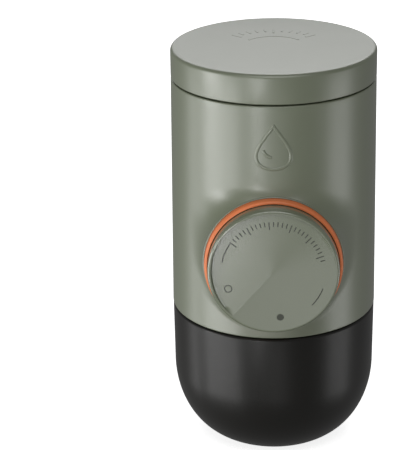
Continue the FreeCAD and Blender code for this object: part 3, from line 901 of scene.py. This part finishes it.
    def build(self) -> None:
        """Makes the casing and puts it on the body."""
        mesh = self.flared(self.plain_mesh())
        for made in (self.drop_relief(mesh), self.ledge_mesh(), self.posts_mesh(), mesh):
            add_piece(made, "main_body", self.palette["casing"], "body_shell")

    def drop_relief(self, mesh: Mesh) -> Mesh:
        """Raised outline of a plain water drop on the front, with a short stroke inside it."""
        sizes = {
            "Width": 1.1 * MM, "Height": 0.22 * MM,
            "Drop Width": 11.0 * MM, "Drop Height": 14.6 * MM, "Glint Radius": 3.4 * MM,
            "Glint Middle": radians(222), "Glint Sweep": radians(64),
        }
        sheet = MarkSheet("Drop Relief", self.palette["casing"], sizes)
        sheet.drop()
        sheet.arc("Glint", "Glint Middle")
        return sheet.lay("drop_relief", mesh, on_front(self.relief_height))

    def ledge_mesh(self) -> Mesh:
        """Ledge inside the shell that the water tank rests on."""
        top = low_corner("water_tank").z
        low = top - self.ledge_height
        inner = high_corner("water_tank").x - self.ledge_width
        outer = self.radius_at(top, self.wall / 2)
        outline = [(inner, low), (outer, low), (outer, top), (inner, top)]
        return turned_mesh("tank_ledge", outline, True, self.ledge_segments)

    def posts_mesh(self) -> Mesh:
        """Posts inside the shell that hold the brew head's screws, each with a rib to the wall."""
        low = high_corner("brew_head").z
        high = low + self.post_height
        middle = (high_corner("brew_screws").x - self.screw_head) * sqrt(2)
        outer, bore = self.screw_radius + self.post_wall, self.screw_radius
        outline = [(bore, low), (outer, low), (outer, high), (bore, high)]
        build = bmesh.new()
        add_turned(build, outline, even_turns(self.post_segments), closed=True)
        bmesh.ops.translate(build, verts=build.verts, vec=(middle, 0, 0))
        start, end = middle + outer * self.rib_root, self.radius_at(low, self.wall / 2)
        rib = bmesh.ops.create_cube(build, size=1.0)["verts"]
        bmesh.ops.scale(build, verts=rib, vec=(end - start, self.rib_width, high - low))
        bmesh.ops.translate(build, verts=rib, vec=((start + end) / 2, 0, (low + high) / 2))
        post = finished_mesh(build, "screw_posts")
        return turned_copies(post, self.palette["casing"], self.screws, pi / self.screws)


# ---------------- lid


@dataclass
class Lid:
    """The cap: flat on top, with a small bright round at its edge."""

    palette: Palette
    wall: float = 2.2 * MM
    plate: float = 2.4 * MM
    edge: float = 1.3 * MM
    low_edge: float = 0.4 * MM
    inner_edge: float = 0.3 * MM
    relief: float = 0.12 * MM
    relief_share: float = 0.9

    def build(self) -> None:
        """Makes the cap and puts it on the lid's body."""
        low, high, radius = low_corner("lid").z, high_corner("lid").z, high_corner("lid").x
        top, inner = high - self.relief, radius - self.wall
        corners = [
            (0.0, top, 0.0),
            (radius, top, self.edge),
            (radius, low, self.low_edge),
            (inner, low, 0.0),
            (inner, high - self.plate, self.inner_edge),
            (0.0, high - self.plate, 0.0),
        ]
        mesh = turned_mesh("lid_cap", rounded(corners))
        for made in (self.top_relief(mesh), mesh):
            add_piece(made, "lid", self.palette["casing"], "lid")

    def top_relief(self, mesh: Mesh) -> Mesh:
        """Faint raised scale and dash on the cap, behind its middle."""
        sizes = {
            "Width": 0.8 * MM, "Height": self.relief * self.relief_share,
            "Scale Radius": 18.0 * MM, "Scale Length": 4.0 * MM, "Scale Count": 11,
            "Scale Start": radians(-50), "Scale Step": radians(10),
            "Dash Radius": 10.0 * MM, "Dash Middle": 0.0, "Dash Sweep": radians(110),
        }
        sheet = MarkSheet("Lid Relief", self.palette["casing"], sizes)
        sheet.scale()
        sheet.arc("Dash", "Dash Middle")
        return sheet.lay("lid_relief", mesh, Matrix.Identity(4))


# ---------------- knob and ring


@dataclass
class AccentRing:
    """The orange ring that stands in the boss, round the knob."""

    palette: Palette
    edge: float = 0.9 * MM
    inner_edge: float = 0.1 * MM
    knob_gap: float = 0.2 * MM

    def build(self) -> None:
        """Makes the ring and puts it on the body."""
        low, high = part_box("accent_ring")
        outer, inner = high.x, high_corner("knob").x + self.knob_gap
        corners = [
            (inner, -high.y, 0.0),
            (outer, -high.y, 0.0),
            (outer, -low.y, self.edge),
            (inner, -low.y, self.inner_edge),
        ]
        mesh = turned_mesh("orange_ring", rounded(corners, closed=True), closed=True)
        mesh.transform(PUMP_PLACE)
        add_piece(mesh, "main_body", self.palette["orange"], "accent_ring")


@dataclass
class Knob:
    """The pump's round button, whose face folds at a crease into a scoop inside its rim."""

    palette: Palette
    edge: float = 0.8 * MM
    plate: float = 5.1 * MM
    wall: float = 1.6 * MM
    spigot: float = 6.0 * MM
    spigot_length: float = 2.7 * MM
    sink: float = 2.2 * MM
    rim: float = 1.2 * MM
    bank: float = 0.28 * MM
    relief: float = 0.05 * MM
    crease: float = 221.0
    sweep: float = 229.0
    plane: float = 90.0
    columns: int = 180
    rings: int = 16

    def __post_init__(self) -> None:
        """Takes the knob's place from the frame."""
        low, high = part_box("knob")
        self.radius = high.x
        self.front = -low.y - self.relief
        self.back = -high.y
        self.inside = -low.y - self.plate

    def slope(self, turn: float) -> float:
        """Fall of the scoop per length outwards, at a turn clockwise from the crease."""
        if turn <= self.plane:
            share = sin(radians(90 * turn / self.plane))
        else:
            past = min((turn - self.plane) / (self.sweep - self.plane), 1.0)
            share = cos(radians(90 * past)) ** 2
        return self.sink / self.radius * share

    def column(self, turn: float) -> list[Vector]:
        """Points of the face and the side at one turn from the crease, from the middle outwards."""
        slope = self.slope(turn)
        bowl = self.radius - self.rim - self.bank / 2
        radii = [bowl * ring / self.rings for ring in range(self.rings)]
        drops = [(radius, slope * radius) for radius in radii]
        shares = [step / ROUND_STEPS for step in range(ROUND_STEPS + 1)]
        for share in shares:
            radius = bowl + self.bank * share
            drops.append((radius, slope * radius * (1 - share * share * (3 - 2 * share))))
        flat = self.radius - self.edge
        for bend in [pi / 2 * share for share in shares]:
            drops.append((flat + self.edge * sin(bend), self.edge * (1 - cos(bend))))
        drops.append((self.radius, self.front - self.back))
        return [self.spot(radius, turn, self.front - drop) for radius, drop in drops]

    def spot(self, radius: float, turn: float, station: float) -> Vector:
        """Point at a radius, at a turn from the crease and at a station along the pump."""
        angle = radians(self.crease + turn)
        return Vector((radius * sin(angle), radius * cos(angle), station))

    def face_mesh(self) -> Mesh:
        """The knob as one closed mesh, in the pump's own place."""
        build = bmesh.new()
        turns = [360.0 * step / self.columns for step in range(self.columns)]
        rows = [[build.verts.new(point) for point in self.column(turn)] for turn in turns]
        add_strips(build, rows, ring=False, closed=True)
        inner, end = self.radius - self.wall, self.inside - self.spigot_length
        hollow = [
            (inner, self.back), (inner, self.inside),
            (self.spigot, self.inside), (self.spigot, end), (0.0, end),
        ]
        rims = [[row[-1] for row in rows]]
        for radius, station in hollow:
            places = [self.spot(radius, turn, station) for turn in (turns if radius else [0.0])]
            rims.append([build.verts.new(place) for place in places])
        add_strips(build, rims)
        mesh = finished_mesh(build, "pump_knob", KNOB_SHARP_TURN)
        self.sharpen_crease(mesh)
        return mesh

    def sharpen_crease(self, mesh: Mesh) -> None:
        """Marks the edges along the crease as sharp, since its fold is too flat to count."""
        along = self.spot(1.0, 0.0, 0.0).xy
        for edge in mesh.edges:
            ends = [mesh.vertices[index].co for index in edge.vertices]
            on_face = all(end.z > self.front - WELD and end.xy.dot(along) > -WELD for end in ends)
            if on_face and all(abs(end.xy.cross(along)) < WELD for end in ends):
                edge.use_edge_sharp = True

    def marks(self, mesh: Mesh) -> Mesh:
        """Inlaid scale, two dashes, an open ring and a dot on the face."""
        sizes = {
            "Width": 0.36 * MM, "Height": 0.04 * MM,
            "Scale Radius": 17.0 * MM, "Scale Length": 2.6 * MM, "Scale Count": 27,
            "Scale Start": radians(-55), "Scale Step": radians(5),
            "Dash Radius": 16.7 * MM, "Dash Sweep": radians(23.4),
            "Left Dash": radians(292), "Right Dash": radians(120.6),
            "Symbol Radius": 1.15 * MM, "Symbol Circle": 15.7 * MM,
            "Ring Turn": radians(248), "Dot Turn": radians(172),
        }
        sheet = MarkSheet("Knob Marks", self.palette["ink"], sizes)
        sheet.scale()
        for dash in ("Left Dash", "Right Dash"):
            sheet.arc("Dash", dash)
        for turn, draw in (("Ring Turn", sheet.ring), ("Dot Turn", sheet.dot)):
            draw(sheet.around(sheet["Symbol Circle"], sheet[turn]))
        return sheet.lay("knob_marks", mesh, PUMP_PLACE)

    def build(self) -> None:
        """Makes the knob and its marks and puts them on the knob's body."""
        mesh = self.face_mesh()
        mesh.transform(PUMP_PLACE)
        marks = self.marks(mesh)
        add_piece(mesh, "knob", self.palette["knob"], "knob")
        add_piece(marks, "knob", self.palette["ink"])


# ---------------- cup


@dataclass
class Cup:
    """The drinking cup: a dark round dome that the maker stands on."""

    palette: Palette
    foot: float = 14.0 * MM
    dome: float = 27.2 * MM
    wall: float = 1.9 * MM
    draft: float = radians(0.5)
    outer_steps: int = 48
    inner_steps: int = 36

    def build(self) -> None:
        """Makes the cup and puts it on its body."""
        rim, top, half = high_corner("drinking_cup").x, high_corner("drinking_cup").z, self.wall / 2
        reach = rim - (top - self.dome) * tan(self.draft) - self.foot
        centre, thin = (self.foot, self.dome), self.wall
        outline = [(0.0, 0.0)] + quarter_ellipse(centre, reach, self.dome, self.outer_steps)
        for step in range(2 * ROUND_STEPS + 1):
            turn = pi * step / (2 * ROUND_STEPS)
            outline.append((rim - half + half * cos(turn), top - half + half * sin(turn)))
        inside = quarter_ellipse(centre, reach - thin, self.dome - thin, self.inner_steps)
        outline += inside[::-1] + [(0.0, thin)]
        mesh = turned_mesh("cup_shell", outline)
        add_piece(mesh, "cup", self.palette["cup"], "drinking_cup")


# ---------------- threads


@dataclass
class Threads:
    """The threads of the tank's plug and of the outlet head's boss, on nodes that are plain."""

    palette: Palette
    tank_wall: float = 1.4 * MM
    outlet_wall: float = 2.7 * MM
    gap: float = 0.3 * MM
    plug_start: float = 1.2 * MM
    boss_start: float = 1.0 * MM
    length: float = 5.0 * MM
    turns: float = 2.0
    rib: float = 0.2 * MM
    runout: float = 60.0
    thinnest: float = 0.15
    samples: int = 260
    sides: int = 8

    def build(self) -> None:
        """Winds both threads."""
        plug = high_corner("water_tank").x - self.tank_wall - self.gap
        boss = high_corner("outlet_head").x - self.outlet_wall - self.gap
        start = low_corner("lid_plug").z + self.plug_start
        seat = high_corner("brew_gasket").z + self.boss_start
        self.wind("plug_thread", "lid", plug, start)
        self.wind("boss_thread", "main_body", boss, seat)

    def wind(self, name: str, body: str, radius: float, low: float) -> None:
        """Winds a rib round the upright axis, thinned out at both ends.

        Args:
            name: name of the piece.
            body: the body that it rides on.
            radius: radius of the rib's middle line.
            low: height of its lower end.
        """
        sizes = {
            "Radius": radius, "Low End": low, "Length": self.length, "Turns": self.turns,
            "Rib": self.rib,
        }
        sheet = ShapeSheet("Thread Rib", self.palette["black"], sizes)
        wide, bottom, length, turns, rib, _ = sheet.given
        line = sheet.geo("CurvePrimitiveLine", End=(0, 0, 1))
        many = sheet.geo("ResampleCurve", line, Count=self.samples)
        share = sheet.geo("SplineParameter")
        angle = share * (turns * FULL_TURN)
        place = sheet.vector(
            wide * sheet.calc("COSINE", angle), wide * sheet.calc("SINE", angle),
            share * length + bottom,
        )
        wound = sheet.geo("SetPosition", many, Position=place)
        thin = (share * (1.0 - share) * self.runout).within(self.thinnest, 1.0)
        section = sheet.geo("CurvePrimitiveCircle", self.sides, Radius=rib)
        sheet.finish(sheet.geo("CurveToMesh", wound, section, Scale=thin, Fill_Caps=True))
        mesh = sheet.grow(bpy.data.meshes.new(name))
        mesh.shade_smooth()
        add_piece(mesh, body, self.palette["black"])


# ---------------- pieces kept from the construction


@dataclass
class Fittings:
    """The construction's own pieces, each with its finish."""

    palette: Palette

    BY_SLOT = {
        "steel": "steel", "inner_plastic": "black", "bearing_plastic": "bearing",
        "tank_plastic": "tank", "rubber": "rubber",
    }
    BY_NODE = {
        "suction_tube": "clear_rubber", "delivery_tube": "clear_rubber", "plunger_rod": "black",
    }

    def build(self) -> None:
        """Dresses each node in its material slot, with its mesh left alone."""
        for part in frame["record"]["subparts"]:
            node, slot = frame["nodes"][part["node"]], part["material_slot"]
            finish = self.BY_NODE.get(part["node"]) or self.BY_SLOT.get(slot)
            if not finish:
                continue
            for place in node.material_slots:
                place.link = "OBJECT"
                place.material = self.palette[finish]
            logger.info("%s: %s", node.name, finish)


# ---------------- studio


@dataclass(frozen=True)
class Softbox:
    """A rectangular light that hangs round the object and faces its middle."""

    name: str
    azimuth: float
    elevation: float
    width: float
    height: float
    power: float
    reach: float = 1.0
    aim: float = 0.08

    def hang(self) -> None:
        """Adds the light."""
        light = bpy.data.lights.new(self.name, "AREA")
        light.shape = "RECTANGLE"
        light.size, light.size_y, light.energy = self.width, self.height, self.power
        lamp = placed(self.name, light)
        turn, rise = radians(self.azimuth), radians(self.elevation)
        across, back = sin(turn) * cos(rise), -cos(turn) * cos(rise)
        way = Vector((across, back, sin(rise)))
        lamp.location = Vector((0, 0, self.aim)) + self.reach * way
        lamp.rotation_euler = (-way).to_track_quat("-Z", "Y").to_euler()
        lamp.visible_camera = False


@dataclass
class Studio:
    """Camera, floor, lights and surroundings."""

    image_width: int = 407
    image_height: int = 450
    focal_pixels: float = 1813.0
    sensor: float = 36.0
    distance: float = 619.3 * MM
    elevation: float = radians(21.91)
    target_height: float = 75.8 * MM
    axis_column: float = 273.5
    floor_reach: float = 6.0
    floor_thickness: float = 0.02
    floor_segments: int = 64
    floor_colour: Colour = (0.9, 0.9, 0.9)
    floor_glow: float = 0.82
    fill_light: float = 0.2

    def build(self) -> None:
        """Sets up everything round the object."""
        self.set_camera()
        self.lay_floor()
        self.set_surroundings()
        for light in self.lights():
            light.hang()

    def set_camera(self) -> None:
        """Places the camera so that the object's axis stands at its column of the image."""
        lens = bpy.data.cameras.new("studio_camera")
        lens.sensor_width = self.sensor
        lens.lens = self.focal_pixels / max(self.image_width, self.image_height) * self.sensor
        camera = placed("studio_camera", lens)
        back = Vector((0, -cos(self.elevation), sin(self.elevation)))
        camera.location = Vector((0, 0, self.target_height)) + self.distance * back
        look = (-back).to_track_quat("-Z", "Y")
        ray = Vector(((self.axis_column - self.image_width / 2) / self.focal_pixels, 0, -1))
        camera.rotation_mode = "QUATERNION"
        camera.rotation_quaternion = look @ ray.rotation_difference(Vector((0, 0, -1)))
        bpy.context.scene.camera = camera

    def lay_floor(self) -> None:
        """Lays the plain pale floor."""
        reach, low = self.floor_reach, -self.floor_thickness
        outline = [(0.0, 0.0), (reach, 0.0), (reach, low), (0.0, low)]
        mesh = turned_mesh("floor", outline, segments=self.floor_segments)
        material = bpy.data.materials.new("pale_floor")
        sheet = bare_sheet(material)
        bright = sheet.term("ShaderNodeBsdfDiffuse", (*self.floor_colour, 1))
        glow = sheet.term("ShaderNodeEmission", Strength=self.floor_glow)
        both = sheet.term("ShaderNodeAddShader", bright, glow)
        sheet.terms("ShaderNodeOutputMaterial", both)
        mesh.materials.append(material)
        floor = placed("floor", mesh)
        floor.visible_diffuse = floor.visible_glossy = floor.visible_shadow = False

    def set_surroundings(self) -> None:
        """Plain white surroundings that light the object only a little."""
        world = bpy.data.worlds.new("studio")
        sheet = bare_sheet(world)
        seen = sheet.term("ShaderNodeLightPath")
        dim, bright = [
            sheet.term("ShaderNodeBackground", WHITE, strength)
            for strength in (self.fill_light, 1.0)
        ]
        both = sheet.term("ShaderNodeMixShader", seen, dim, bright)
        sheet.terms("ShaderNodeOutputWorld", both)
        bpy.context.scene.world = world
        bpy.context.scene.view_settings.view_transform = "Standard"

    def lights(self) -> list[Softbox]:
        """The studio's soft lights."""
        return [
            Softbox("left_strip_front", -45, -20, 0.12, 0.5, 1.2),
            Softbox("left_strip_middle", -60, -20, 0.12, 0.5, 1.1),
            Softbox("left_strip_side", -75, -20, 0.12, 0.5, 1.1),
            Softbox("left_edge_strip", -100, -20, 0.15, 0.5, 0.7),
            Softbox("left_panel", -70, 0, 0.15, 0.4, 2.0),
            Softbox("knob_strip", -17, -9, 0.08, 0.2, 1.3),
            Softbox("right_strip", 70, -20, 0.15, 0.5, 0.6),
            Softbox("right_edge_strip", 85, -20, 0.15, 0.5, 0.6),
            Softbox("front_panel", 0, 50, 0.7, 0.4, 2.6),
            Softbox("low_panel", 5, -24, 0.3, 0.3, 0.25),
            Softbox("back_panel", 180, 18, 0.9, 0.15, 0.6),
            Softbox("top_panel", 180, 40, 0.9, 0.3, 2.6),
        ]


# ---------------- the whole


def main() -> None:
    """Builds every sub-assembly in order."""
    logging.basicConfig(level=logging.INFO, format="%(message)s")
    palette = Palette()
    parts = [kind(palette) for kind in (Fittings, Casing, Lid, AccentRing, Knob, Cup, Threads)]
    for assembly in (*parts, Studio()):
        assembly.build()
        logger.info("%s is built", type(assembly).__name__)


if __name__ == "__main__":
    main()
